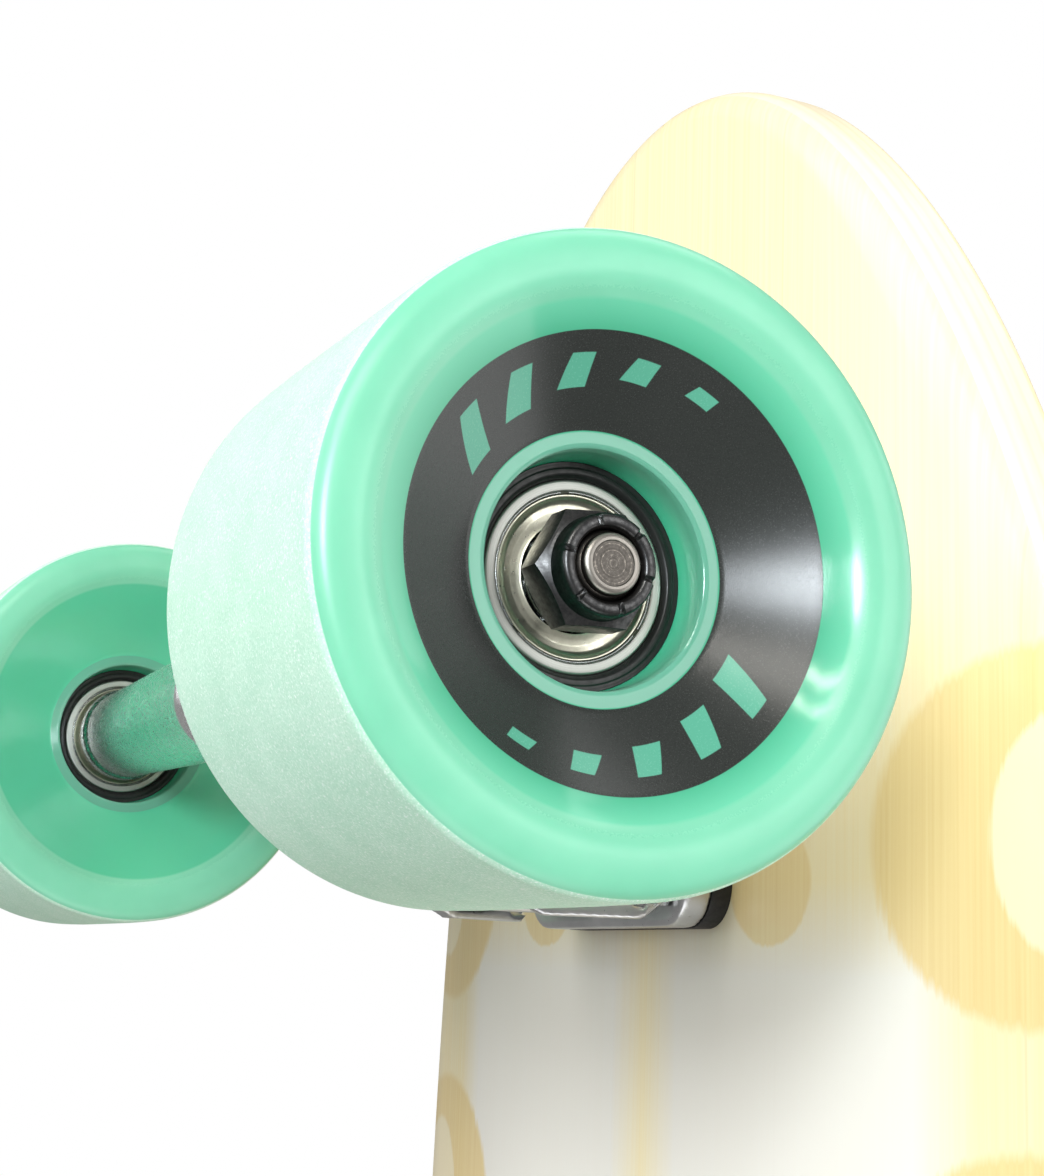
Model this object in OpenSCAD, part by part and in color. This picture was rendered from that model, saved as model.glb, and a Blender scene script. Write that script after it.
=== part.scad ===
// Longboard skateboard: bamboo-faced maple deck, two reverse-kingpin trucks and four centre-set wheels.
// X runs from tail to nose, Y to the rider's left, Z up. The origin is on the ground under the middle.

/* [Deck] */
// Length of the deck from tail to nose
deck_length = 1085; // [1040:1:1140]
// Greatest width of the deck
deck_width = 238; // [226:1:250]
// Rise of the concave at the widest edge
concave_rise = 12; // [4:1:14]
// Angle of the kicktail above the deck
tail_angle = 16; // [8:1:20]
// Distance from the nose to the front axle
nose_overhang = 112; // [108:1:150]
// Distance from the tail to the rear axle
tail_overhang = 173; // [165:1:200]

/* [Trucks] */
// Width of the hanger between the two wheel faces
hanger_width = 170; // [160:1:182]
// Height of the axle below the baseplate's mounting face
axle_drop = 66.5; // [66:0.5:68]
// Angle of the steering axis from the deck
steer_angle = 45; // [44:1:46]
// Thickness of the riser pad
riser_t = 3.5; // [2:0.5:4]

/* [Wheels] */
// Diameter of the wheel
wheel_d = 72; // [70:1:74]
// Width of the wheel
wheel_w = 53; // [51:1:55]

/* [Hidden] */
$fn = 72;

// Colours
bamboo = [0.93, 0.85, 0.66];
maple = [0.80, 0.64, 0.42];
grip_black = [0.10, 0.10, 0.10];
cast_silver = [0.74, 0.74, 0.75];
steel = [0.62, 0.62, 0.62];
black_steel = [0.13, 0.13, 0.13];
mint = [0.42, 0.87, 0.68];
black_plastic = [0.07, 0.07, 0.07];
zinc = [0.72, 0.70, 0.58];

// Heights above the ground
wheel_r = wheel_d / 2;
board_z = wheel_r + axle_drop;
deck_z = board_z + riser_t;
ply_t = 1.5;
core_t = 8;
grip_t = 0.8;
deck_top_z = deck_z + 2 * ply_t + core_t;

// Plan of the deck: a superellipse-like nose and tail either side of the widest station
front_axle_x = deck_length / 2 - nose_overhang;
rear_axle_x = -deck_length / 2 + tail_overhang;
widest_x = 131.5;
nose_power = 3.77;
nose_round = 0.51;
tail_power = 3.2;
tail_round = 0.5;
tip_half_w = 6;
flat_half_w = 34;
tail_start_x = rear_axle_x - 52;
tail_radius = 150;
stations = 64;
side_steps = 4;

// Truck plate and its bolt pattern, u runs outward from the axle
plate_in = -35;
plate_out = 45;
plate_w = 56;
plate_t = 5;
plate_corner = 7;
bolt_u = [-27, 27];
spare_hole_u = 36.5;
bolt_y = 20.65;
bolt_r = 2.4;
bolt_head_r = 4.6;
bolt_head_h = 2.2;

// Steering geometry, measured from the ring's centre in the hanger's own plane
axle_along = 24;
axle_rake = 12;
ring_u = axle_along * cos(steer_angle) - axle_rake * sin(steer_angle);
ring_w = axle_drop - axle_along * sin(steer_angle) - axle_rake * cos(steer_angle);
ring_r = 17;
ring_t = 10;
ring_hole_r = 7.2;
bushing_r = 14;
bushing_h = 15;
cup_washer_t = 2;
seat_off = -(ring_t / 2 + bushing_h + cup_washer_t);
kingpin_r = 4.76;
kingpin_head_off = seat_off - 18;
kingpin_nut_h = 9;
kingpin_tip_off = -seat_off + kingpin_nut_h + 3;
pin_r = 4.6;
pin_end_along = 34.2;
cup_gap = 0.05;
cup_r = 5.95;
cup_floor_t = 0.9;
tower_start = 30.9;
tower_end = 36.4;
tower_r = 7.4;
cup_end = pin_end_along + cup_gap + cup_floor_t;

// Hub parts, y runs outward from the wheel's centre
axle_r = 3.97;
bearing_bore_r = 4;
bearing_r = 11;
bearing_w = 7;
spacer_len = 10;
washer_t = 0.8;
half_span = spacer_len / 2 + bearing_w;
wheel_y = hanger_width / 2 + washer_t + half_span;
nut_hex_h = 5.2;
nut_collar_h = 2.6;
nut_af = 12.7;
axle_tip_past_bearing = 9.2;
axle_len = 2 * (wheel_y + half_span + axle_tip_past_bearing);
core_r = 12.9;
core_half = half_span + 0.4;
ball_r = 1.984;
ball_pitch_r = 7.5;
groove_r = 2.05;
ball_count = 7;

function arc(cx, cy, r, from, to, n) =
    [for (i = [0 : n]) [cx + r * cos(from + (to - from) * i / n), cy + r * sin(from + (to - from) * i / n)]];

// ---------- deck ----------

function nose_half_w(t) = deck_width / 2 * pow(1 - pow(t, nose_power), nose_round);
function tail_half_w(t) = deck_width / 2 * pow(1 - pow(t, tail_power), tail_round);
function half_w(x) = max(tip_half_w, x > widest_x
    ? nose_half_w(min(1, (x - widest_x) / (deck_length / 2 - widest_x)))
    : tail_half_w(min(1, (widest_x - x) / (deck_length / 2 + widest_x))));
function station_x(i) = -deck_length / 2 * cos(180 * i / stations);

// Rise of the kicktail: an arc that runs out into a straight slope
function tail_rise(d) = d <= 0 ? 0
    : d < tail_radius * sin(tail_angle) ? tail_radius - sqrt(tail_radius * tail_radius - d * d)
    : tail_radius * (1 - cos(tail_angle)) + (d - tail_radius * sin(tail_angle)) * tan(tail_angle);
function edge_rise(y) = concave_rise * pow(max(0, abs(y) - flat_half_w) / (deck_width / 2 - flat_half_w), 2);
function surface_z(x, y) = edge_rise(y) + tail_rise(tail_start_x - x);

// Stations across the deck: a flat strip in the middle and even steps to each edge
function cross_y(hw) = let (flat = min(flat_half_w, 0.4 * hw))
    concat([for (j = [side_steps : -1 : 0]) -flat - (hw - flat) * j / side_steps],
           [0],
           [for (j = [0 : side_steps]) flat + (hw - flat) * j / side_steps]);

across = 2 * side_steps + 3;

function layer(z0) = [for (i = [0 : stations]) let (x = station_x(i)) for (y = cross_y(half_w(x)))
    [x, y, z0 + surface_z(x, y)]];

module ply(z0, thickness) {
    n = (stations + 1) * across;
    points = concat(layer(z0), layer(z0 + thickness));
    grid = [for (i = [0 : stations - 1]) for (j = [0 : across - 2]) i * across + j];
    bottom = [for (a = grid) each [[a, a + 1, a + across], [a + 1, a + across + 1, a + across]]];
    top = [for (a = grid) each [[n + a, n + a + across, n + a + 1],
                                [n + a + 1, n + a + across, n + a + across + 1]]];
    right = [for (i = [0 : stations - 1]) let (a = i * across)
        each [[a, a + across, n + a], [a + across, n + a + across, n + a]]];
    left = [for (i = [0 : stations - 1]) let (a = i * across + across - 1)
        each [[a, n + a, a + across], [a + across, n + a, n + a + across]]];
    tail = [for (j = [0 : across - 2]) each [[j, n + j, j + 1], [j + 1, n + j, n + j + 1]]];
    nose = [for (j = [0 : across - 2]) let (a = stations * across + j)
        each [[a, a + 1, n + a], [a + 1, n + a + 1, n + a]]];
    difference() {
        polyhedron(points, concat(bottom, top, right, left, tail, nose));
        both_trucks_on_ground() bolt_holes(bolt_r + 0.2);
        both_trucks_on_ground() countersinks();
    }
}

module deck_bottom_ply() { color(bamboo) ply(deck_z, ply_t); }
module deck_core() { color(maple) ply(deck_z + ply_t, core_t); }
module deck_top_ply() { color(bamboo) ply(deck_z + ply_t + core_t, ply_t); }
module grip_tape() { color(grip_black) ply(deck_top_z, grip_t); }

// ---------- places ----------

// The truck's own frame: origin under the board face above the axle, +X outward along the board
module front_truck() { translate([front_axle_x, 0, board_z]) children(); }
module rear_truck() { translate([rear_axle_x, 0, board_z]) rotate([0, 0, 180]) children(); }
module both_trucks_on_ground() {
    front_truck() children();
    rear_truck() children();
}

// Frame at the ring's centre: +X along the kingpin to the road, -Z along the steering axis to the pivot
module steer_frame() { translate([ring_u, 0, -ring_w]) rotate([0, 90 - steer_angle, 0]) children(); }
module along_kingpin(off) { steer_frame() translate([off, 0, 0]) rotate([0, 90, 0]) children(); }
module along_pivot(along) { steer_frame() translate([0, 0, -along]) rotate([180, 0, 0]) children(); }
module along_axle(y) { translate([0, y, -axle_drop]) rotate([-90, 0, 0]) children(); }

module ring(r_in, r_out, h) {
    difference() {
        cylinder(r = r_out, h = h);
        translate([0, 0, -1]) cylinder(r = r_in, h = h + 2);
    }
}

module hexagon(across_flats, h) { cylinder(d = across_flats / cos(30), h = h, $fn = 6); }

// ---------- truck bolts ----------

bolt_top = riser_t + 2 * ply_t + core_t + grip_t;
nut_bottom = -plate_t - 5;
bolt_len = bolt_top - nut_bottom + 1.5;

module at_bolts() { for (u = bolt_u) for (side = [-1, 1]) translate([u, side * bolt_y, 0]) children(); }
module bolt_holes(r) { at_bolts() translate([0, 0, -20]) cylinder(r = r, h = 60); }
module countersinks() {
    at_bolts() translate([0, 0, bolt_top - bolt_head_h])
        cylinder(r1 = bolt_r + 0.2, r2 = bolt_head_r + 0.2, h = bolt_head_h);
}
module deck_bolts() {
    color(black_steel) at_bolts() {
        translate([0, 0, bolt_top - bolt_len]) cylinder(r = bolt_r, h = bolt_len - bolt_head_h);
        translate([0, 0, bolt_top - bolt_head_h]) cylinder(r1 = bolt_r, r2 = bolt_head_r, h = bolt_head_h);
    }
}
module deck_nuts() {
    color(steel) at_bolts() translate([0, 0, nut_bottom]) difference() {
        hexagon(9.5, 5);
        translate([0, 0, -1]) cylinder(r = bolt_r, h = 7);
    }
}

// ---------- riser and baseplate ----------

module plate_outline() {
    translate([(plate_in + plate_out) / 2, 0]) {
        square([plate_out - plate_in - 2 * plate_corner, plate_w], center = true);
        square([plate_out - plate_in, plate_w - 2 * plate_corner], center = true);
    }
    for (u = [plate_in + plate_corner, plate_out - plate_corner])
        for (side = [-1, 1])
            translate([u, side * (plate_w / 2 - plate_corner)]) circle(r = plate_corner);
}

module plate_holes(r) {
    bolt_holes(r);
    for (side = [-1, 1]) translate([spare_hole_u, side * bolt_y, -20]) cylinder(r = r, h = 60);
}

module riser() {
    color(black_plastic) difference() {
        linear_extrude(riser_t) plate_outline();
        plate_holes(bolt_r + 0.3);
    }
}

// Side wall of the pivot tower: a truss of thin ribs that leans in from the plate's edge
wall_t = 3.5;
wall_lean = 17.5;
module tower_wall_profile() {
    difference() {
        polygon([[-29, 4], [-34, 10], [-34, 25], [-28, 38], [-22, 50], [-18.5, 60], [-18, 66], [-13, 65],
                 [-10, 58], [-10, 47], [4, 29], [22, 4]]);
        polygon([[-28.5, 6.2], [-32, 10.5], [-23.6, 31.5], [-13, 39], [0, 26], [6, 17], [6, 6.2]]);
        polygon([[-32, 15.5], [-32, 24], [-26.4, 36], [-20.3, 49], [-15.5, 54], [-13.5, 45], [-24.8, 34.2]]);
        polygon([[11, 6.2], [11, 15], [16.5, 6.2]]);
    }
}
// A profile drawn as distance outward and depth below the plate's mounting face, made into a standing wall
module standing_wall(thickness) {
    translate([0, thickness / 2, 0]) rotate([90, 0, 0]) mirror([0, 1, 0]) linear_extrude(thickness) children();
}
module tower_wall(side) {
    translate([0, side * (plate_w - wall_t) / 2, 0]) rotate([-side * wall_lean, 0, 0])
        standing_wall(wall_t) scale([1, 1 / cos(wall_lean)]) tower_wall_profile();
}

boss_r = 15;
module baseplate() {
    color(cast_silver) difference() {
        union() {
            translate([0, 0, -plate_t]) linear_extrude(plate_t) plate_outline();
            for (side = [-1, 1]) tower_wall(side);
            // slanted seat for the bushing, with a wedge that carries it
            along_kingpin(kingpin_head_off) cylinder(r = boss_r, h = seat_off - kingpin_head_off);
            standing_wall(24) polygon([[-12, 4], [12.5, 4], [8.5, 8.5], [3, 14], [-8, 23], [-12, 18]]);
            // housing for the pivot cup, with a rib down its back
            along_pivot(tower_start) rotate_extrude() polygon([
                [0, 0], [tower_r, 0], [tower_r, tower_end - tower_start - 1.2],
                [tower_r - 1.2, tower_end - tower_start], [0, tower_end - tower_start]
            ]);
            standing_wall(5) polygon([[-33, 2], [-33, 24], [-28.5, 37], [-23.5, 50], [-18.5, 61], [-14, 65], [-13, 55],
                                      [-17, 45], [-23, 33], [-29, 20], [-29, 2]]);
        }
        translate([-100, -100, 0]) cube([200, 200, 60]);
        // window in the plate under the tower
        translate([-31, -13, -plate_t - 1]) cube([17, 26, plate_t + 2]);
        plate_holes(bolt_r + 0.5);
        at_bolts() translate([0, 0, -plate_t - 7]) cylinder(r = 6, h = 7);
        along_kingpin(kingpin_head_off - 1) cylinder(r = kingpin_r + 0.02, h = 60);
        along_kingpin(kingpin_head_off - 8) cylinder(r = 8.6, h = 8);
        along_pivot(tower_start - 1) cylinder(r = cup_r, h = cup_end - tower_start + 1);
        // room in front of the housing for the hanger's pin
        along_pivot(tower_start - 18) cylinder(r = 9.5, h = 18);
    }
}

module pivot_cup() {
    color(black_plastic) difference() {
        along_pivot(tower_start) cylinder(r = cup_r, h = cup_end - tower_start);
        along_pivot(tower_start - 1) cylinder(r = pin_r + cup_gap, h = pin_end_along + cup_gap - tower_start + 1);
    }
}

// ---------- kingpin and bushings ----------

module kingpin() {
    color(steel) {
        along_kingpin(kingpin_head_off) cylinder(r = kingpin_r, h = kingpin_tip_off - kingpin_head_off);
        along_kingpin(kingpin_head_off - 6) hexagon(14.2, 6);
    }
}
module kingpin_nut() {
    color(steel) along_kingpin(-seat_off) difference() {
        hexagon(14.2, kingpin_nut_h);
        translate([0, 0, -1]) cylinder(r = kingpin_r, h = kingpin_nut_h + 2);
    }
}
module bushing_washers() {
    color(steel) {
        along_kingpin(seat_off) ring(kingpin_r + 0.1, bushing_r, cup_washer_t);
        along_kingpin(-seat_off - cup_washer_t) ring(kingpin_r + 0.1, bushing_r - 2, cup_washer_t);
    }
}
module boardside_bushing() {
    color(mint) along_kingpin(seat_off + cup_washer_t) ring(kingpin_r + 0.1, bushing_r - 0.5, bushing_h);
}
module roadside_bushing() {
    color(mint) along_kingpin(ring_t / 2) difference() {
        cylinder(r1 = bushing_r - 0.5, r2 = bushing_r - 3.5, h = bushing_h);
        translate([0, 0, -1]) cylinder(r = kingpin_r + 0.1, h = bushing_h + 2);
    }
}

// ---------- hanger and axle ----------

hanger_half = hanger_width / 2;
bar_neck_r = 6.4;
web_tilt = atan(axle_rake / axle_along);
module hanger() {
    collar = hanger_half - 4;
    color(cast_silver) difference() {
        union() {
            along_axle(0) rotate_extrude() polygon([
                [0, -hanger_half], [8, -hanger_half], [8.8, -hanger_half + 1], [8.8, -collar], [8.3, -collar + 1],
                [9.2, -40], [9.2, -17], [bar_neck_r, -10], [bar_neck_r, 10], [9.2, 17], [9.2, 40],
                [8.3, collar - 1], [8.8, collar], [8.8, hanger_half - 1], [8, hanger_half], [0, hanger_half]
            ]);
            along_kingpin(-ring_t / 2) cylinder(r = ring_r, h = ring_t);
            // web from the ring to the arms
            steer_frame() rotate([0, 90 - web_tilt, 0]) translate([0, 0, -3]) linear_extrude(6)
                polygon([[2, -16.5], [14, -22], [20, -36], [25, -56], [29, -36], [29, -20], [27, -8],
                         [27, 8], [29, 20], [29, 36], [25, 56], [20, 36], [14, 22], [2, 16.5]]);
            // pivot pin
            along_pivot(0) rotate_extrude() polygon([
                [0, 12], [7.5, 12], [7.5, 25], [pin_r, 29.5], [pin_r, pin_end_along - 0.7],
                [pin_r - 0.7, pin_end_along], [0, pin_end_along]
            ]);
        }
        along_axle(-hanger_half - 1) cylinder(r = axle_r, h = hanger_width + 2);
        along_kingpin(-ring_t) cylinder(r = ring_hole_r, h = 2 * ring_t);
        // the nut, washer and bushing sit in a round relief on the road side
        along_kingpin(ring_t / 2) cylinder(r = bushing_r + 0.8, h = 40);
        along_kingpin(-ring_t / 2 - 20) cylinder(r = bushing_r + 0.8, h = 20);
    }
}

axle_chamfer = 0.7;
module axle() {
    half = axle_len / 2;
    color(steel) along_axle(0) rotate_extrude() polygon([
        [0, -half], [axle_r - axle_chamfer, -half], [axle_r, -half + axle_chamfer],
        [axle_r, half - axle_chamfer], [axle_r - axle_chamfer, half], [0, half]
    ]);
}

module axle_nut() {
    difference() {
        union() {
            hexagon(nut_af, nut_hex_h);
            cylinder(r = 5.4, h = nut_hex_h + nut_collar_h);
        }
        translate([0, 0, -1]) cylinder(r = axle_r, h = 20);
    }
}
module both_ends() {
    children();
    translate([0, 0, -axle_drop]) rotate([0, 0, 180]) translate([0, 0, axle_drop]) children();
}
module axle_nuts() {
    color(black_steel) both_ends() along_axle(wheel_y + half_span + washer_t) axle_nut();
}
module speed_washers() {
    color(steel) both_ends() for (y = [hanger_half, wheel_y + half_span])
        along_axle(y) ring(bearing_bore_r, 5.6, washer_t);
}
module inner_rings() {
    color(steel) both_ends() for (side = [-1, 1])
        along_axle(wheel_y + side * (spacer_len + bearing_w) / 2) difference() {
            translate([0, 0, -bearing_w / 2]) ring(bearing_bore_r, 6.05, bearing_w);
            rotate_extrude() translate([ball_pitch_r, 0]) circle(r = groove_r);
        }
}
module spacers() {
    color(steel) both_ends() along_axle(wheel_y - spacer_len / 2) ring(bearing_bore_r + 0.05, 5.3, spacer_len);
}

// ---------- wheels, drawn about their own centre with +Z to the outer face ----------

half_wheel = wheel_w / 2;
lip_r = 3.6;
function face_profile() = concat(
    [[core_r, 0], [core_r, core_half], [13.1, half_span + 4.2], [13.5, half_span + 5.3], [15.2, half_span + 5.4],
     [20.1, half_span + 8.1], [25, half_span + 11.3]],
    [[27.9, half_wheel - 1.6], [28.3, half_wheel - 0.9], [29.6, half_wheel - 0.2]],
    arc(wheel_r - lip_r, half_wheel - lip_r, lip_r, 90, 0, 6),
    [[wheel_r, 0]]);
function mirrored(points) = [for (i = [len(points) - 2 : -1 : 1]) [points[i][0], -points[i][1]]];

module tyre() {
    color(mint) rotate_extrude($fn = 96) polygon(concat(face_profile(), mirrored(face_profile())));
}
module core() {
    color(black_plastic) difference() {
        translate([0, 0, -core_half]) cylinder(r = core_r, h = 2 * core_half);
        translate([0, 0, -30]) cylinder(r = 9.6, h = 60);
        for (z = [spacer_len / 2, -spacer_len / 2 - 20]) translate([0, 0, z]) cylinder(r = bearing_r, h = 20);
    }
}
module at_bearings() { for (side = [-1, 1]) translate([0, 0, side * (spacer_len + bearing_w) / 2]) children(); }
module outer_rings() {
    color(steel) at_bearings() difference() {
        translate([0, 0, -bearing_w / 2]) ring(9.2, bearing_r, bearing_w);
        rotate_extrude() translate([ball_pitch_r, 0]) circle(r = groove_r);
        for (z = [-bearing_w / 2 - 1, bearing_w / 2 - 0.6]) translate([0, 0, z]) cylinder(r = 9.45, h = 1.6);
    }
}
module shields() {
    color(zinc) at_bearings() for (z = [-bearing_w / 2 + 0.25, bearing_w / 2 - 0.6])
        translate([0, 0, z]) ring(6.3, 9.45, 0.35);
}
module at_balls() {
    for (i = [0 : ball_count - 1]) rotate([0, 0, 360 * i / ball_count]) translate([ball_pitch_r, 0, 0]) children();
}
module ball_cages() {
    color(steel) at_bearings() {
        at_balls() sphere(r = ball_r);
        difference() {
            translate([0, 0, -2.5]) ring(7.1, 7.9, 5);
            at_balls() rotate([0, 90, 0]) translate([0, 0, -2]) cylinder(r = groove_r, h = 4);
        }
    }
}

// A wheel's place: truck x and side of the board, +1 on the left
module on_wheel(x, side) { translate([x, side * wheel_y, wheel_r]) rotate([-90 * side, 0, 0]) children(); }

// ---------- nodes ----------

deck_bottom_ply();
deck_core();
deck_top_ply();
grip_tape();

front_truck() riser();  // front_riser
front_truck() baseplate();  // front_baseplate
front_truck() pivot_cup();  // front_pivot_cup
front_truck() kingpin();  // front_kingpin
front_truck() kingpin_nut();  // front_kingpin_nut
front_truck() bushing_washers();  // front_bushing_washers
front_truck() boardside_bushing();  // front_boardside_bushing
front_truck() roadside_bushing();  // front_roadside_bushing
front_truck() deck_bolts();  // front_deck_bolts
front_truck() deck_nuts();  // front_deck_nuts
front_truck() hanger();  // front_hanger
front_truck() axle();  // front_axle
front_truck() axle_nuts();  // front_axle_nuts
front_truck() speed_washers();  // front_speed_washers
front_truck() inner_rings();  // front_bearing_inner_rings
front_truck() spacers();  // front_bearing_spacers

rear_truck() riser();  // rear_riser
rear_truck() baseplate();  // rear_baseplate
rear_truck() pivot_cup();  // rear_pivot_cup
rear_truck() kingpin();  // rear_kingpin
rear_truck() kingpin_nut();  // rear_kingpin_nut
rear_truck() bushing_washers();  // rear_bushing_washers
rear_truck() boardside_bushing();  // rear_boardside_bushing
rear_truck() roadside_bushing();  // rear_roadside_bushing
rear_truck() deck_bolts();  // rear_deck_bolts
rear_truck() deck_nuts();  // rear_deck_nuts
rear_truck() hanger();  // rear_hanger
rear_truck() axle();  // rear_axle
rear_truck() axle_nuts();  // rear_axle_nuts
rear_truck() speed_washers();  // rear_speed_washers
rear_truck() inner_rings();  // rear_bearing_inner_rings
rear_truck() spacers();  // rear_bearing_spacers

// Wheels: each corner has the same five pieces
for (corner = [["front_left", front_axle_x, 1], ["front_right", front_axle_x, -1],
               ["rear_left", rear_axle_x, 1], ["rear_right", rear_axle_x, -1]]) {
    name = corner[0];
    on_wheel(corner[1], corner[2]) tyre();
    on_wheel(corner[1], corner[2]) core();
    on_wheel(corner[1], corner[2]) outer_rings();
    on_wheel(corner[1], corner[2]) shields();
    on_wheel(corner[1], corner[2]) ball_cages();
}
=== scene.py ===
"""Longboard skateboard: the visible pieces, their materials, the stage and the camera.

Lengths are in millimetres until a piece is made, and each piece's own coordinates are kept in its
"local" attribute, which the materials read.
"""

import math

import bmesh
import bpy
from mathutils import Matrix, Vector


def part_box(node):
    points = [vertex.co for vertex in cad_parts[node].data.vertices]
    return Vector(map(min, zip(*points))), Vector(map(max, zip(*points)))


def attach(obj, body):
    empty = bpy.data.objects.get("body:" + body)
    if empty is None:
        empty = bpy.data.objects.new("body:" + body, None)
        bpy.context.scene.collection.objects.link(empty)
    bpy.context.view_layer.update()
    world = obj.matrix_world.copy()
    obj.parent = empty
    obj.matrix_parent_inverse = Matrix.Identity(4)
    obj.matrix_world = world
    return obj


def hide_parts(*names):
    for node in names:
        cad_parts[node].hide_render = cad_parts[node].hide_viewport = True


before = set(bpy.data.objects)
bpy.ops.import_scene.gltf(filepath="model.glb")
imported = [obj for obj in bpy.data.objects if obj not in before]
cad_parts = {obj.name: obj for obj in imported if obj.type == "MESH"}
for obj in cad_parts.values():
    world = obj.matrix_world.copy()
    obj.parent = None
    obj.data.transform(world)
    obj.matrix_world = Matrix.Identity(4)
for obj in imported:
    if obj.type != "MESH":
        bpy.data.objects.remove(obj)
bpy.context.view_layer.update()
MM = 0.001
HERE = Matrix.Identity(4)


# ---------- places, all from the frame ----------


def span(node, place):
    """Lowest and highest z and greatest radius of a CAD node in a place's own frame, in millimetres."""
    inverse = place.inverted()
    points = [inverse @ (v.co / MM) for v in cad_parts[node].data.vertices]
    heights = [p.z for p in points]
    return min(heights), max(heights), max(math.hypot(p.x, p.y) for p in points)


def box_mm(node):
    low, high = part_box(node)
    return low / MM, high / MM


def centre_mm(node):
    low, high = box_mm(node)
    return (low + high) / 2


KINGPIN_TILT = 135
ENDS = {"front": 0, "rear": 180}
CORNERS = [(end, side) for end in ENDS for side in ("left", "right")]


def kingpin_place(end):
    """Origin in the hanger's ring, +Z along the kingpin towards the road."""
    ring = centre_mm(f"{end}_boardside_bushing") + centre_mm(f"{end}_roadside_bushing")
    facing = Matrix.Rotation(math.radians(ENDS[end]), 4, "Z")
    tilt = Matrix.Rotation(math.radians(KINGPIN_TILT), 4, "Y")
    raw = Matrix.Translation(ring / 2) @ facing @ tilt
    low = span(f"{end}_boardside_bushing", raw)[1]
    high = span(f"{end}_roadside_bushing", raw)[0]
    return raw @ Matrix.Translation((0, 0, (low + high) / 2))


def axle_place(end):
    """Origin in the middle of the axle, +Z to the board's left."""
    return Matrix.Translation(centre_mm(f"{end}_axle")) @ Matrix.Rotation(math.radians(-90), 4, "X")


def wheel_place(end, side):
    """Origin in the wheel's middle, +Z to its outer face."""
    turn = -90 if side == "left" else 90
    return Matrix.Translation(centre_mm(f"{end}_{side}_tyre")) @ Matrix.Rotation(math.radians(turn), 4, "X")


# ---------- shapes ----------


def turned(profile, segments, closed=True, start=0, sweep=360):
    """A profile of (radius, height) turned about the Z axis."""
    whole = sweep == 360
    rows = segments if whole else segments + 1
    points, faces, count = [], [], len(profile)
    for i in range(rows):
        angle = math.radians(start + sweep * i / segments)
        points += [(r * math.cos(angle), r * math.sin(angle), h) for r, h in profile]
    for i in range(segments):
        a, b = i * count, (i + 1) % rows * count
        for j in range(count if closed else count - 1):
            k = (j + 1) % count
            faces.append((a + j, b + j, b + k, a + k))
    if not whole and closed:
        faces.append(tuple(range(count)))
        faces.append(tuple((rows - 1) * count + j for j in range(count)))
    return points, faces


def rounded(outline, radius, steps=3):
    """A closed outline with each corner rounded; a corner given as (x, y, r) has a radius of its own."""
    made, count = [], len(outline)
    for i, corner in enumerate(outline):
        here = Vector(corner[:2])
        want = corner[2] if len(corner) > 2 else radius
        before, after = Vector(outline[i - 1][:2]) - here, Vector(outline[(i + 1) % count][:2]) - here
        cut = min(want, before.length * 0.45, after.length * 0.45)
        if cut < 1e-4:
            made.append(tuple(here))
            continue
        first, last = here + before.normalized() * cut, here + after.normalized() * cut
        for k in range(steps + 1):
            t = k / steps
            made.append(tuple(first * (1 - t) ** 2 + here * 2 * t * (1 - t) + last * t * t))
    return made


def arc(cx, cy, r, start, end, steps):
    """Points along an arc, with its angles in degrees."""
    angles = [math.radians(start + (end - start) * i / steps) for i in range(steps + 1)]
    return [(cx + r * math.cos(a), cy + r * math.sin(a)) for a in angles]


NUT_STEPS = 240


def hex_nut(flats, height, bore, collar_r=0, collar_h=0, notches=0, notch_turn=0):
    """A chamfered hexagonal nut, or a bolt's head if the bore is 0, with an optional crimped collar."""
    points, faces = [], []
    inner = flats / 2
    for i in range(NUT_STEPS):
        turn = 360 * i / NUT_STEPS
        out = inner / math.cos(math.radians((turn + 30) % 60 - 30))
        drop = (out - inner * 0.97) * math.tan(math.radians(30))
        rows = [(bore, 0), (inner * 0.93, 0), (out * 0.995, drop), (out, drop + 0.1),
                (out, height - drop - 0.1), (out * 0.995, height - drop), (inner * 0.93, height)]
        if collar_h:
            notch = 0
            if notches:
                off = abs((turn - notch_turn + 180 / notches) % (360 / notches) - 180 / notches)
                notch = max(0, 1 - (off / 4) ** 2)
            top = height + collar_h
            rows += [(collar_r + 0.35, height), (collar_r + 0.08, height + 0.12), (collar_r, height + 0.4),
                     (collar_r - 0.1 * notch, top - 0.9), (collar_r - 0.12 - 0.3 * notch, top - 0.4),
                     (collar_r - 0.3 - 0.35 * notch, top - 0.12 - 0.35 * notch),
                     (collar_r - 0.55 - 0.2 * notch, top - 0.5 * notch), (bore + 0.5, top - 0.4 * notch),
                     (bore + 0.3, top - 0.12), (bore + 0.08, top - 0.5), (bore, top - 0.8)]
        else:
            rows += [(bore, height)]
        angle = math.radians(turn)
        points += [(r * math.cos(angle), r * math.sin(angle), h) for r, h in rows]
    count = len(points) // NUT_STEPS
    for i in range(NUT_STEPS):
        a, b = i * count, (i + 1) % NUT_STEPS * count
        for j in range(count):
            k = (j + 1) % count
            faces.append((a + j, b + j, b + k, a + k))
    return points, faces


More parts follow.
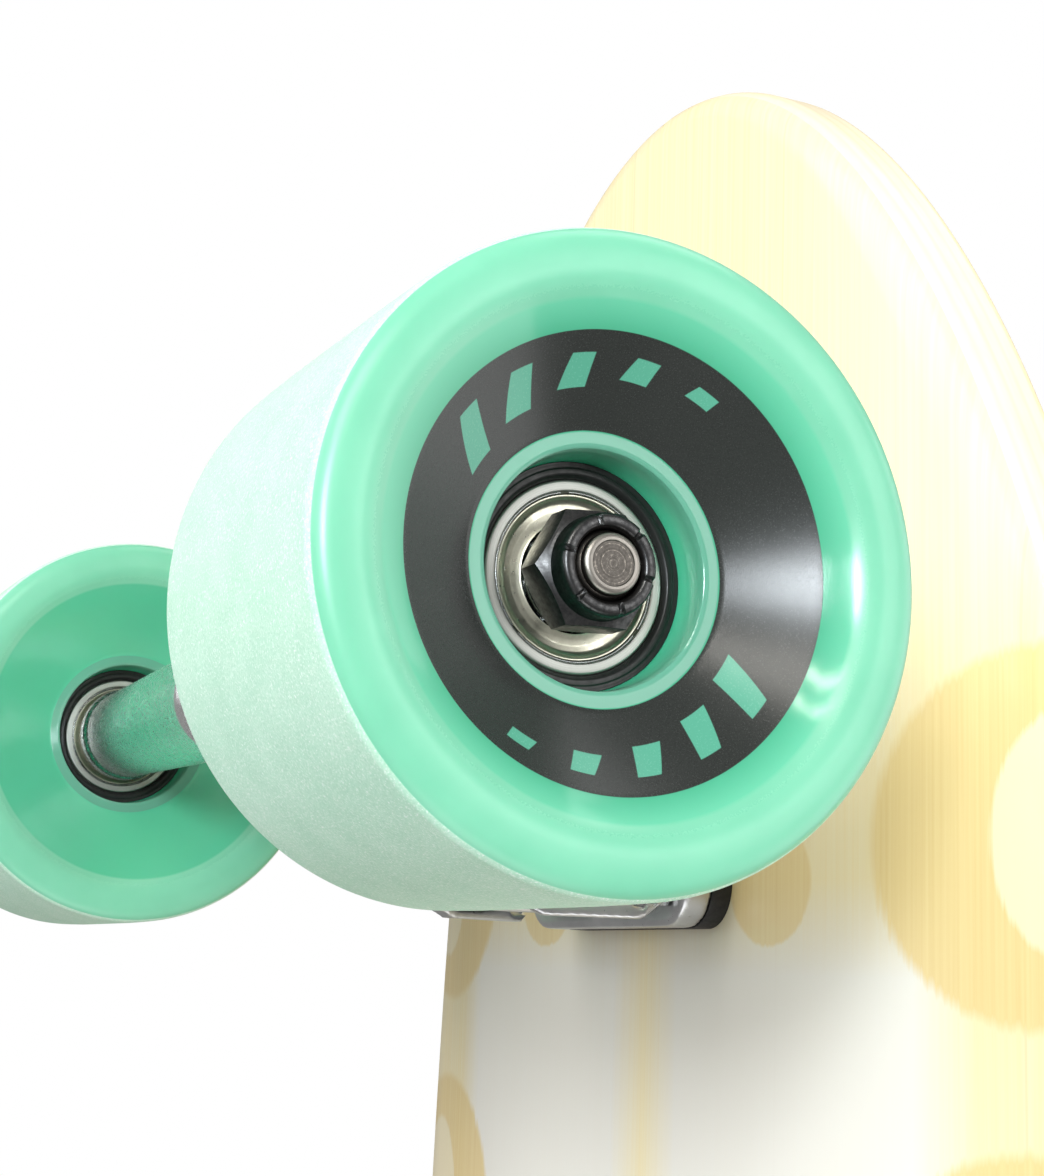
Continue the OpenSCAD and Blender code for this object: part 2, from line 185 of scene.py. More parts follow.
class Pile:
    """Shapes gathered into one piece. Each keeps its own coordinates in the "local" attribute."""

    def __init__(self):
        self.points, self.local, self.faces, self.slots = [], [], [], []

    def add(self, shape, place=HERE, slot=0):
        points, faces = shape
        base = len(self.points)
        self.local += points
        self.points += [place @ Vector(p) for p in points]
        self.faces += [tuple(base + i for i in f) for f in faces]
        self.slots += [slot] * len(faces)
        return self

    def piece(self, name, body, materials, record_slot, replaces=(), sharp=35):
        mesh = bpy.data.meshes.new(name)
        mesh.from_pydata([p * MM for p in self.points], [], self.faces)
        local = mesh.attributes.new("local", "FLOAT_VECTOR", "POINT")
        local.data.foreach_set("vector", [c for p in self.local for c in p])
        mesh.polygons.foreach_set("material_index", self.slots)
        for material in materials:
            mesh.materials.append(material)
        tidy(mesh, sharp)
        piece = bpy.data.objects.new(name, mesh)
        bpy.context.scene.collection.objects.link(piece)
        return place_piece(piece, body, replaces)


def tidy(mesh, sharp):
    """Joins doubled points, turns faces outward and smooths all but the sharp edges."""
    work = bmesh.new()
    work.from_mesh(mesh)
    bmesh.ops.remove_doubles(work, verts=work.verts, dist=2e-6)
    bmesh.ops.dissolve_degenerate(work, edges=work.edges, dist=1e-6)
    bmesh.ops.recalc_face_normals(work, faces=work.faces)
    work.to_mesh(mesh)
    work.free()
    mesh.shade_smooth()
    mesh.set_sharp_from_angle(angle=math.radians(sharp))


def place_piece(piece, body, replaces=()):
    """Sets the body a piece rides and hides the CAD nodes it stands for."""
    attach(piece, body)
    if replaces:
        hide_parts(*replaces)
    return piece


def settled(piece):
    """Applies a piece's modifiers to its mesh."""
    bpy.context.view_layer.update()
    mesh = bpy.data.meshes.new_from_object(piece.evaluated_get(bpy.context.evaluated_depsgraph_get()))
    piece.modifiers.clear()
    piece.data = mesh


def cut(piece, cutter_shape, places):
    """Cuts one shape, repeated at each place, out of a piece."""
    pile = Pile()
    for place in places:
        pile.add(cutter_shape, place)
    cutter = pile.piece(piece.name + "_cutter", "root", [], "steel")
    change = piece.modifiers.new("cut", "BOOLEAN")
    change.operation, change.object, change.solver = "DIFFERENCE", cutter, "EXACT"
    settled(piece)
    bpy.data.objects.remove(cutter)


def softened(node, name, body, material, voxel=0.55, passes=4):
    """A CAD node's shape with the rounded edges and fillets of a casting."""
    piece = bpy.data.objects.new(name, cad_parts[node].data.copy())
    bpy.context.scene.collection.objects.link(piece)
    remesh = piece.modifiers.new("remesh", "REMESH")
    remesh.mode, remesh.voxel_size = "VOXEL", voxel * MM
    smooth = piece.modifiers.new("smooth", "SMOOTH")
    smooth.factor, smooth.iterations = 0.5, passes
    settled(piece)
    piece.data.materials.clear()
    piece.data.materials.append(material)
    piece.data.shade_smooth()
    return place_piece(piece, body, [node])


def bevelled(node, name, body, material, width=0.5):
    """A CAD node's shape with its edges broken."""
    piece = bpy.data.objects.new(name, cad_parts[node].data.copy())
    bpy.context.scene.collection.objects.link(piece)
    work = bmesh.new()
    work.from_mesh(piece.data)
    bmesh.ops.remove_doubles(work, verts=work.verts, dist=2e-6)
    bmesh.ops.dissolve_limit(work, angle_limit=math.radians(1), verts=work.verts, edges=work.edges)
    work.to_mesh(piece.data)
    work.free()
    bevel = piece.modifiers.new("bevel", "BEVEL")
    bevel.width, bevel.segments, bevel.angle_limit = width * MM, 3, math.radians(40)
    settled(piece)
    piece.data.materials.clear()
    piece.data.materials.append(material)
    piece.data.shade_smooth()
    piece.data.set_sharp_from_angle(angle=math.radians(40))
    return place_piece(piece, body, [node])


# ---------- materials ----------


def srgb(r, g, b):
    def linear(c):
        c /= 255
        return c / 12.92 if c <= 0.04045 else ((c + 0.055) / 1.055) ** 2.4

    return (linear(r), linear(g), linear(b), 1.0)


class Surface:
    """A material and short calls for the nodes in it."""

    def __init__(self, name, settings, local=True):
        self.material = bpy.data.materials.new(name)
        self.material.use_nodes = True
        self.tree = self.material.node_tree
        self.shader = self.tree.nodes["Principled BSDF"]
        self.set(settings)
        if local:
            self.coords = self.add("ShaderNodeAttribute", attribute_name="local").outputs["Vector"]
        else:
            raw = self.add("ShaderNodeTexCoord").outputs["Object"]
            self.coords = self.stretch((1 / MM,) * 3, raw)
        parts = self.add("ShaderNodeSeparateXYZ", {0: self.coords}).outputs
        self.x, self.y, self.z = parts["X"], parts["Y"], parts["Z"]

    def set(self, settings):
        for key, value in settings.items():
            self.put(self.shader.inputs[key], value)

    def put(self, socket, value):
        if isinstance(value, bpy.types.NodeSocket):
            self.tree.links.new(value, socket)
        else:
            socket.default_value = value

    def add(self, kind, values=None, **settings):
        made = self.tree.nodes.new(kind)
        for key, value in settings.items():
            setattr(made, key, value)
        for key, value in (values or {}).items():
            self.put(made.inputs[key], value)
        return made

    def math(self, operation, a, b=0.0, clamp=False):
        return self.add("ShaderNodeMath", {0: a, 1: b}, operation=operation, use_clamp=clamp).outputs[0]

    def between(self, value, low, high, soft):
        """1 where a value lies between two limits, with soft ends."""
        up = self.math("DIVIDE", self.math("SUBTRACT", value, low), soft, clamp=True)
        down = self.math("DIVIDE", self.math("SUBTRACT", high, value), soft, clamp=True)
        return self.math("MULTIPLY", up, down)

    def stretch(self, factors, vector=None):
        source = self.coords if vector is None else vector
        return self.add("ShaderNodeVectorMath", {0: source, 1: factors}, operation="MULTIPLY").outputs[0]

    def noise(self, scale, detail=2, rough=0.5, vector=None):
        source = self.coords if vector is None else vector
        values = {"Vector": source, "Scale": scale, "Detail": detail, "Roughness": rough}
        return self.add("ShaderNodeTexNoise", values).outputs["Fac"]

    def ramp(self, fac, stops):
        made = self.add("ShaderNodeValToRGB", {0: fac})
        while len(made.color_ramp.elements) < len(stops):
            made.color_ramp.elements.new(1)
        for element, (place, colour) in zip(made.color_ramp.elements, stops):
            element.position, element.color = place, colour
        return made.outputs[0]

    def level(self, fac, low, high, to_low=0.0, to_high=1.0):
        values = {"Value": fac, "From Min": low, "From Max": high, "To Min": to_low, "To Max": to_high}
        return self.add("ShaderNodeMapRange", values).outputs[0]

    def mix(self, fac, a, b):
        made = self.add("ShaderNodeMix", data_type="RGBA")
        for index, value in ((0, fac), (6, a), (7, b)):
            self.put(made.inputs[index], value)
        return made.outputs[2]

    def bump(self, height, strength, distance):
        values = {"Height": height, "Strength": strength, "Distance": distance * MM}
        made = self.add("ShaderNodeBump", values)
        previous = self.shader.inputs["Normal"].links
        if previous:
            self.tree.links.new(previous[0].from_socket, made.inputs["Normal"])
        self.tree.links.new(made.outputs[0], self.shader.inputs["Normal"])

    def radius(self):
        across, along = self.math("MULTIPLY", self.x, self.x), self.math("MULTIPLY", self.y, self.y)
        return self.math("SQRT", self.math("ADD", across, along))


WHEEL_R = span("front_left_tyre", wheel_place("front", "left"))[2]
HALF_SPAN = span("front_left_bearing_outer_rings", wheel_place("front", "left"))[1]
CORE_R = span("front_left_core", wheel_place("front", "left"))[2]
CORE_HALF = span("front_left_core", wheel_place("front", "left"))[1]
PRINT_IN, PRINT_OUT = 15.2, 25.04
DASH_IN, DASH_OUT = 17.6, 22.9
HUB_PROUD = 5.38
HUB_FACE = HALF_SPAN + HUB_PROUD
SHOULDER_R = 28.2
LIP_MID, LIP_TOP, LIP_DROP = 31.6, 26.49, 2.6
TREAD_HALF = 25.15


def wheel_urethane():
    """Glossy translucent mint, ground satin on the tread, with a dark printed ring on the outer face."""
    s = Surface("mint_urethane", {
        "Subsurface Weight": 0.3,
        "Subsurface Radius": (0.6, 1.0, 0.85),
        "Subsurface Scale": 0.0035,
        "IOR": 1.5,
    })
    r = s.radius()
    depth = s.math("ABSOLUTE", s.z)
    cloud = s.noise(0.09, 3)
    body = s.mix(s.level(cloud, 0.35, 0.65), srgb(124, 199, 166), srgb(118, 194, 161))
    # inside the shoulder the dish is painted darker as painted shade, darkest next to the print, and evenly
    # darker on the inner face
    front = s.math("GREATER_THAN", s.z, 14)
    dish = s.between(r, CORE_R, SHOULDER_R, 0.4)
    dish_shade_fall = s.math("MULTIPLY", s.level(r, PRINT_OUT, SHOULDER_R, 1.0, 0.0), front)
    inner = s.mix(front, srgb(84, 186, 147), s.mix(dish_shade_fall, srgb(106, 196, 160), srgb(76, 170, 134)))
    body = s.mix(dish, body, inner)
    # the hub's flat ring, and the wall of the pocket, with painted light and shade by depth: greyer and
    # darker at the hub's face, lighter deep towards the core
    hub = s.between(r, CORE_R - 1, PRINT_IN - 0.05, 0.1)
    painted_wall_shading = s.level(depth, CORE_HALF, HUB_FACE - 0.2)
    body = s.mix(hub, body, s.mix(painted_wall_shading, srgb(82, 206, 160), srgb(98, 162, 138)))
    tread = s.between(r, LIP_MID + 2, WHEEL_R + 2, 0.08)
    tread = s.math("MULTIPLY", tread, s.level(depth, TREAD_HALF + 0.12, TREAD_HALF))
    grit_and_sparkle = s.noise(3.0, 3, 0.75)
    soft = s.noise(0.14, 3, 0.5)
    ground = s.mix(s.level(soft, 0.35, 0.65), srgb(194, 230, 209), srgb(184, 224, 201))
    # pale specks of the grit noise are painted sparkle on the ground tread; the dark specks after them are
    # the tread's own grit
    ground = s.mix(s.level(grit_and_sparkle, 0.54, 0.7, 0, 0.9), ground, srgb(246, 255, 250))
    ground = s.mix(s.level(grit_and_sparkle, 0.46, 0.32, 0, 0.6), ground, srgb(160, 206, 184))
    body = s.mix(tread, body, ground)
    # printed ring
    ring = s.math("MULTIPLY", s.between(r, PRINT_IN, PRINT_OUT, 0.07), front)
    angle = s.math("DIVIDE", s.math("ADD", s.math("ARCTAN2", s.y, s.x), 2 * math.pi + 0.62), math.pi)
    half_turn = s.math("FRACT", angle)
    fifths = s.math("MULTIPLY", half_turn, 9.0)
    lean = s.math("MULTIPLY", s.math("SUBTRACT", r, 20.1), 0.055)
    place = s.math("SUBTRACT", s.math("FRACT", s.math("ADD", fifths, lean)), 0.5)
    count = s.math("FLOOR", s.math("ADD", fifths, lean))
    width = s.math("SUBTRACT", 0.30, s.math("MULTIPLY", s.math("SUBTRACT", r, DASH_IN), 0.022))
    inside = s.between(s.math("SUBTRACT", width, s.math("ABSOLUTE", place)), 0, 9, 0.012)
    low = s.math("SUBTRACT", DASH_OUT - 0.9, s.math("MULTIPLY", count, 0.95))
    inside = s.math("MULTIPLY", inside, s.between(r, s.math("SUBTRACT", low, 0.6), DASH_OUT, 0.07))
    inside = s.math("MULTIPLY", inside, s.math("LESS_THAN", count, 4.5))
    grain = s.noise(9.0, 2, 0.7)
    ink = s.mix(s.level(grain, 0.35, 0.72), srgb(30, 33, 31), srgb(50, 53, 50))
    ink = s.mix(inside, ink, srgb(84, 160, 134))
    s.set({"Base Color": s.mix(ring, body, ink), "Specular IOR Level": 0.5})
    s.set({"Subsurface Weight": s.math("SUBTRACT", 0.3, s.math("MULTIPLY", ring, 0.3))})
    speck = s.noise(5.0, 1)
    rough = s.math("ADD", s.math("MULTIPLY", tread, 0.34), s.level(speck, 0.3, 0.8, 0.08, 0.16))
    rough = s.math("ADD", rough, s.math("MULTIPLY", ring, 0.14))
    rough = s.math("ADD", rough, s.level(r, SHOULDER_R - 0.6, SHOULDER_R + 1.2, 0, 0.2))
    s.set({"Roughness": rough})
    s.bump(s.math("MULTIPLY", ring, s.noise(7.0, 2, 0.6)), 0.12, 0.05)
    s.bump(s.math("MULTIPLY", tread, grit_and_sparkle), 0.5, 0.08)
    return s.material


def plain_urethane():
    """The bushings' mint urethane."""
    s = Surface("bushing_urethane", {
        "Subsurface Weight": 0.3, "Subsurface Radius": (0.5, 1.0, 0.8), "Subsurface Scale": 0.002, "IOR": 1.5,
    })
    s.set({"Base Color": s.mix(s.noise(0.4, 3), srgb(120, 228, 184), srgb(104, 214, 170))})
    s.set({"Roughness": s.level(s.noise(1.5, 3), 0.3, 0.7, 0.22, 0.38)})
    s.bump(s.noise(2.0, 3), 0.1, 0.05)
    return s.material


def metal(name, colour, second, rough, local=True, grain=0.8, bump=0.08, rings=False):
    """A bare metal with fine variation, brushed round its axis if rings is set."""
    s = Surface(name, {"Metallic": 1.0}, local)
    if rings:
        round_axis = s.add("ShaderNodeCombineXYZ", {0: s.math("MULTIPLY", s.radius(), 7), 1: s.z})
        wave = s.noise(1.0, 3, 0.8, round_axis.outputs[0])
    else:
        wave = s.noise(grain, 4, 0.65)
    s.set({"Base Color": s.mix(s.level(wave, 0.3, 0.7), srgb(*colour), srgb(*second))})
    s.set({"Roughness": s.level(wave, 0.3, 0.7, rough[0], rough[1])})
    s.bump(wave, bump, 0.05)
    return s.material


def cast_metal(name, colour, second, rough, pits):
    """Tumbled cast aluminium: a fine skin texture, and shallow waves under it."""
    s = Surface(name, {"Metallic": 1.0}, local=False)
    skin = s.noise(1.6, 5, 0.7)
    broad = s.noise(0.12, 3)
    s.set({"Base Color": s.mix(s.level(broad, 0.35, 0.65), srgb(*colour), srgb(*second))})
    s.set({"Roughness": s.level(skin, 0.3, 0.7, rough[0], rough[1])})
    s.bump(skin, pits, 0.08)
    s.bump(broad, 0.1, 0.3)
    return s.material


def plastic(name, colour, second, rough, local=True, bump=0.1, scale=1.2):
    """A moulded plastic or rubber with a faint skin texture."""
    s = Surface(name, {"IOR": 1.46}, local)
    skin = s.noise(scale, 4, 0.6)
    s.set({"Base Color": s.mix(s.level(skin, 0.3, 0.7), srgb(*colour), srgb(*second))})
    s.set({"Roughness": s.level(skin, 0.3, 0.7, rough[0], rough[1])})
    s.bump(skin, bump, 0.06)
    return s.material


STRIP_W, STRIP_OFF = 51.3, 40.5
LOBE_X, LOBE_PITCH, LOBE_Y = 407.5, 66.0, 94.0
SPOT_Y = 38.5


def bamboo(printed):
    """Pale bamboo with the grain along the board. The underside has a design of plain ovals and lobes."""
    name = "bamboo_printed" if printed else "bamboo"
    s = Surface(name, {"IOR": 1.5, "Coat Weight": 0.35, "Coat Roughness": 0.12})
    fibre = s.noise(1.0, 5, 0.65, s.stretch((0.012, 1.1, 0.3)))
    streak = s.noise(1.0, 4, 0.6, s.stretch((0.006, 0.16, 0.1)))
    patch = s.noise(1.0, 2, 0.5, s.stretch((0.014, 0.03, 0.1)))
    colour = s.mix(s.level(fibre, 0.35, 0.7), srgb(254, 240, 200), srgb(251, 231, 178))
    colour = s.mix(s.level(streak, 0.45, 0.75, 0, 0.5), colour, srgb(248, 228, 178))
    colour = s.mix(s.level(patch, 0.55, 0.75, 0, 0.25), colour, srgb(244, 216, 160))
    # each strip has a tone of its own and a fine dark seam
    strips = s.math("DIVIDE", s.math("SUBTRACT", s.y, STRIP_OFF), STRIP_W)
    place = s.math("FRACT", s.math("ADD", strips, 50))
    tone = s.add("ShaderNodeTexWhiteNoise", {"W": s.math("FLOOR", strips)}, noise_dimensions="1D")
    tone = tone.outputs["Value"]
    colour = s.mix(s.math("MULTIPLY", tone, 0.35), colour, srgb(248, 232, 188))
    seam = s.math("LESS_THAN", place, 0.008)
    colour = s.mix(s.math("MULTIPLY", seam, 0.25), colour, srgb(226, 196, 140))
    if printed:
        colour = deck_design(s, colour, fibre)
    s.set({"Base Color": colour, "Roughness": s.level(fibre, 0.3, 0.7, 0.3, 0.42)})
    s.bump(fibre, 0.06, 0.1)
    return s.material


def oval(s, across, along, y, x, edge):
    """1 inside an ellipse of half-axes along and across at (x, y), with a soft grained edge."""
    dx, dy = s.math("DIVIDE", x, along), s.math("DIVIDE", y, across)
    far = s.math("ADD", s.math("MULTIPLY", dx, dx), s.math("MULTIPLY", dy, dy))
    return s.math("DIVIDE", s.math("SUBTRACT", 1.0, s.math("ADD", far, edge)), 0.12, clamp=True)


def deck_design(s, colour, fibre):
    """A pale field between the trucks with a border of overlapping brown lobes, each with a pale eye."""
    edge = s.level(fibre, 0.3, 0.7, -0.06, 0.06)
    side = s.math("ABSOLUTE", s.y)
    turn = s.math("FRACT", s.math("ADD", s.math("DIVIDE", s.math("SUBTRACT", s.x, LOBE_X), LOBE_PITCH), 20.5))
    along = s.math("MULTIPLY", s.math("SUBTRACT", turn, 0.5), LOBE_PITCH)
    reach = s.between(s.x, -LOBE_X + 70, LOBE_X + LOBE_PITCH / 2, 0.5)
    field = s.between(s.x, -LOBE_X + 60, LOBE_X - 5, 14)
    field = s.math("MULTIPLY", field, s.between(side, -1, 84, 12))
    colour = s.mix(s.math("MULTIPLY", field, 0.88), colour, srgb(246, 243, 238))
    lobe = oval(s, 32, 26, s.math("SUBTRACT", side, LOBE_Y + 0.6), along, edge)
    inner = oval(s, 11.5, 10, s.math("SUBTRACT", side, SPOT_Y), s.math("ADD", along, 5), edge)
    eye = oval(s, 14, 17, s.math("SUBTRACT", side, LOBE_Y + 6), along, edge)
    lobe, inner, eye = (s.math("MULTIPLY", shape, reach) for shape in (lobe, inner, eye))
    brown = s.mix(s.level(fibre, 0.3, 0.75), srgb(244, 218, 154), srgb(236, 205, 136))
    colour = s.mix(s.math("MULTIPLY", lobe, 0.9), colour, brown)
    colour = s.mix(s.math("MULTIPLY", inner, 0.7), colour, brown)
    return s.mix(s.math("MULTIPLY", eye, 0.85), colour, srgb(254, 240, 204))


def maple():
    """The core's edge: thin plies that hardly differ, sanded round and sealed."""
    s = Surface("maple_plies", {"IOR": 1.5, "Coat Weight": 0.3, "Coat Roughness": 0.2})
    ply = s.math("FRACT", s.math("DIVIDE", s.z, 2.3))
    band = s.between(ply, 0.0, 0.5, 0.25)
    grain = s.noise(1.0, 4, 0.6, s.stretch((0.03, 0.3, 0.8)))
    colour = s.mix(band, srgb(252, 239, 206), srgb(249, 231, 192))
    colour = s.mix(s.level(grain, 0.4, 0.7, 0, 0.35), colour, srgb(246, 224, 182))
    s.set({"Base Color": colour, "Roughness": s.level(grain, 0.3, 0.7, 0.4, 0.5)})
    s.bump(grain, 0.05, 0.1)
    return s.material


def grip():
    """Black abrasive sheet: hard grains standing out of a matt ground."""
    s = Surface("grip_tape", {"IOR": 1.5})
    grains = s.add("ShaderNodeTexVoronoi", {"Vector": s.coords, "Scale": 1.9}).outputs["Distance"]
    dust = s.noise(0.02, 4, 0.6)
    colour = s.mix(s.level(grains, 0.1, 0.5), srgb(52, 52, 54), srgb(20, 20, 21))
    s.set({"Base Color": s.mix(s.level(dust, 0.5, 0.8, 0, 0.15), colour, srgb(96, 94, 90))})
    s.set({"Roughness": s.level(grains, 0.0, 0.5, 0.45, 0.95)})
    s.bump(s.level(grains, 0.5, 0.0), 0.6, 0.25)
    return s.material


def turned_steel():
    """The axle's ends: a turned face with fine concentric marks, specks of wear, and a painted highlight on
    the chamfer's ring.
    """
    s = Surface("axle_steel", {"Metallic": 1.0})
    r = s.radius()
    marks = s.noise(1.0, 3, 0.8, s.add("ShaderNodeCombineXYZ", {0: s.math("MULTIPLY", r, 4.0)}).outputs[0])
    wear = s.noise(2.5, 5, 0.75)
    both = s.math("ADD", s.math("MULTIPLY", marks, 0.6), s.math("MULTIPLY", wear, 0.4))
    colour = s.ramp(both, [(0.35, srgb(66, 63, 60)), (0.55, srgb(98, 94, 89)), (0.66, srgb(196, 186, 174))])
    # the ring of the chamfer is painted lighter all round, as a painted highlight
    colour = s.mix(s.between(r, 2.5, 3.4, 0.08), colour, srgb(158, 153, 146))
    s.set({"Base Color": colour, "Roughness": s.level(both, 0.35, 0.65, 0.45, 0.3)})
    s.bump(both, 0.25, 0.08)
    return s.material


MINT = wheel_urethane()
BUSHING = plain_urethane()
CORE = plastic("core_plastic", (34, 35, 34), (22, 23, 22), (0.28, 0.42), bump=0.05)
RUBBER = plastic("riser_rubber", (30, 30, 31), (20, 20, 21), (0.5, 0.66), local=False)
CUP = plastic("pivot_cup_plastic", (28, 28, 28), (18, 18, 18), (0.4, 0.55), local=False)
NYLON = plastic("nylon_insert", (222, 224, 220), (204, 207, 202), (0.4, 0.55))
BASE_METAL = cast_metal("cast_aluminium", (206, 207, 208), (188, 189, 191), (0.26, 0.4), 0.22)
HANGER_METAL = cast_metal("polished_aluminium", (236, 237, 238), (226, 227, 229), (0.2, 0.32), 0.08)
STEEL = metal("zinc_plated_steel", (188, 190, 190), (164, 166, 166), (0.2, 0.34))
CAD_STEEL = metal("bearing_steel_inner", (196, 198, 198), (172, 174, 174), (0.16, 0.3), local=False)
GROUND = metal("ground_bearing_steel", (190, 192, 186), (174, 176, 170), (0.36, 0.46), rings=True)
SHIELD = metal("zinc_shield", (232, 230, 212), (212, 210, 190), (0.26, 0.38), grain=1.4, bump=0.1)
BLACK = metal("black_oxide_steel", (92, 92, 92), (57, 57, 58), (0.26, 0.42), grain=1.5, bump=0.12)
AXLE = turned_steel()


# ---------- deck ----------

low, high = box_mm("deck_core")
DECK_LENGTH, DECK_WIDTH = high.x - low.x, high.y - low.y
DECK_Z = box_mm("deck_bottom_ply")[0].z
PLY_T, CORE_T, GRIP_T = 1.5, 8.0, 0.8
DECK_T = 2 * PLY_T + CORE_T + GRIP_T
CONCAVE, FLAT_HALF_W = 12.0, 34.0
WIDEST_X, TIP_HALF_W = 131.5, 1.2
NOSE_POWER, NOSE_ROUND = 3.77, 0.51
TAIL_POWER, TAIL_ROUND = 3.2, 0.5
TAIL_BEHIND_AXLE = 52
TAIL_START = centre_mm("rear_axle").x - TAIL_BEHIND_AXLE
TAIL_RADIUS, TAIL_ANGLE = 150.0, math.radians(16)
EDGE_UNDER, EDGE_OVER = 4.5, 2.2
TIP_TURN_W = 70.0
STATIONS, SIDE_STEPS = 260, 12


def half_width(x):
    """Half the deck's width at a place along it."""
    if x > WIDEST_X:
        along = (x - WIDEST_X) / (DECK_LENGTH / 2 - WIDEST_X)
        wide = (1 - min(1, along) ** NOSE_POWER) ** NOSE_ROUND
    else:
        along = (WIDEST_X - x) / (DECK_LENGTH / 2 + WIDEST_X)
        wide = (1 - min(1, along) ** TAIL_POWER) ** TAIL_ROUND
    return max(TIP_HALF_W, DECK_WIDTH / 2 * wide)


def surface_rise(x, y):
    """How far the concave and the kicktail lift the deck at a place on it."""
    edge = CONCAVE * (max(0, abs(y) - FLAT_HALF_W) / (DECK_WIDTH / 2 - FLAT_HALF_W)) ** 2
    back = TAIL_START - x
    run = TAIL_RADIUS * math.sin(TAIL_ANGLE)
    if back <= 0:
        return edge
    if back < run:
        return edge + TAIL_RADIUS - math.sqrt(TAIL_RADIUS**2 - back**2)
    return edge + TAIL_RADIUS * (1 - math.cos(TAIL_ANGLE)) + (back - run) * math.tan(TAIL_ANGLE)


def edge_inset(h):
    """How far the rounded edge stands in from the outline at a height above the underside."""
    top = DECK_T - h
    if h < EDGE_UNDER:
        return EDGE_UNDER - math.sqrt(EDGE_UNDER**2 - (EDGE_UNDER - h) ** 2)
    if top < EDGE_OVER:
        return EDGE_OVER - math.sqrt(EDGE_OVER**2 - (EDGE_OVER - top) ** 2)
    return 0


def deck_layer(name, bottom, top, material, record_slot, node):
    """One layer between two heights above the underside, following the rounded edge."""
    rows = max(2, round((top - bottom) / 0.4))
    heights = [bottom + (top - bottom) * k / rows for k in range(rows + 1)]
    points, local, faces = [], [], []
    for i in range(STATIONS + 1):
        x = -DECK_LENGTH / 2 * math.cos(math.pi * i / STATIONS)
        loop = []
        half = half_width(x)
        # towards a tip the outline turns across the board, and the edge is rounded lengthwise instead
        sideways = min(1, half / TIP_TURN_W)

        def strip(h):
            wide = half - edge_inset(h) * sideways
            flat = min(FLAT_HALF_W, 0.4 * wide)
            side = [flat + (wide - flat) * j / SIDE_STEPS for j in range(SIDE_STEPS + 1)]
            return [-y for y in reversed(side)] + [0] + side

        loop += [(y, bottom) for y in strip(bottom)]
        loop += [(half - edge_inset(h) * sideways, h) for h in heights[1:-1]]
        loop += [(y, top) for y in reversed(strip(top))]
        loop += [(edge_inset(h) * sideways - half, h) for h in reversed(heights[1:-1])]
        for y, h in loop:
            px = x * (1 - edge_inset(h) / (DECK_LENGTH / 2))
            local.append((px, y, h))
            points.append((px, y, DECK_Z + h + surface_rise(px, y)))
    count = len(points) // (STATIONS + 1)
    for i in range(STATIONS):
        for j in range(count):
            k = (j + 1) % count
            a, b = i * count, (i + 1) * count
            faces.append((a + j, b + j, b + k, a + k))
    faces.append(tuple(range(count)))
    faces.append(tuple(STATIONS * count + j for j in range(count)))
    pile = Pile().add((points, faces))
    pile.local = local
    return pile.piece(name, "root", [material], record_slot, [node], sharp=50)


BOLT_HEAD_R = 4.6
BOLT_PLACES = []
for end in ENDS:
    low, high = box_mm(f"{end}_deck_bolts")
    head = span(f"{end}_deck_bolts", HERE)[1]
    BOLT_PLACES += [(end, Matrix.Translation((x, y, head)))
                    for x in (low.x + BOLT_HEAD_R, high.x - BOLT_HEAD_R)
                    for y in (low.y + BOLT_HEAD_R, high.y - BOLT_HEAD_R)]

BAMBOO, BAMBOO_PRINTED, MAPLE, GRIP = bamboo(False), bamboo(True), maple(), grip()
deck_layer("deck_bottom_ply_wood", 0, PLY_T, BAMBOO_PRINTED, "bamboo", "deck_bottom_ply")
deck_layer("deck_core_wood", PLY_T, PLY_T + CORE_T, MAPLE, "maple", "deck_core")
top_ply = deck_layer("deck_top_ply_wood", PLY_T + CORE_T, DECK_T - GRIP_T, BAMBOO, "bamboo", "deck_top_ply")
grip_sheet = deck_layer("deck_grip_sheet", DECK_T - GRIP_T, DECK_T, GRIP, "grip", "grip_tape")
sink = turned([(0, -6), (2.5, -6), (2.5, -2.3), (4.9, 0.1), (4.9, 3), (0, 3)], 32, closed=False)
cut(grip_sheet, sink, [place for _, place in BOLT_PLACES])
cut(top_ply, sink, [place for _, place in BOLT_PLACES])


# ---------- trucks ----------

CROSS = 0.55
KINGPIN_FLATS = 14.2
NUT_TURN = 0.03
BUSHING_BORE_R = 5.0


def slot_cutter():
    """A tapered slot, two of which make the drive recess of a countersunk bolt."""
    points = []
    for z, long, wide in ((0.1, 2.6, CROSS), (-1.9, 0.9, CROSS * 0.7)):
        points += [(-long, -wide, z), (long, -wide, z), (long, wide, z), (-long, wide, z)]
    return points, [(0, 1, 2, 3), (4, 7, 6, 5), (0, 4, 5, 1), (1, 5, 6, 2), (2, 6, 7, 3), (3, 7, 4, 0)]


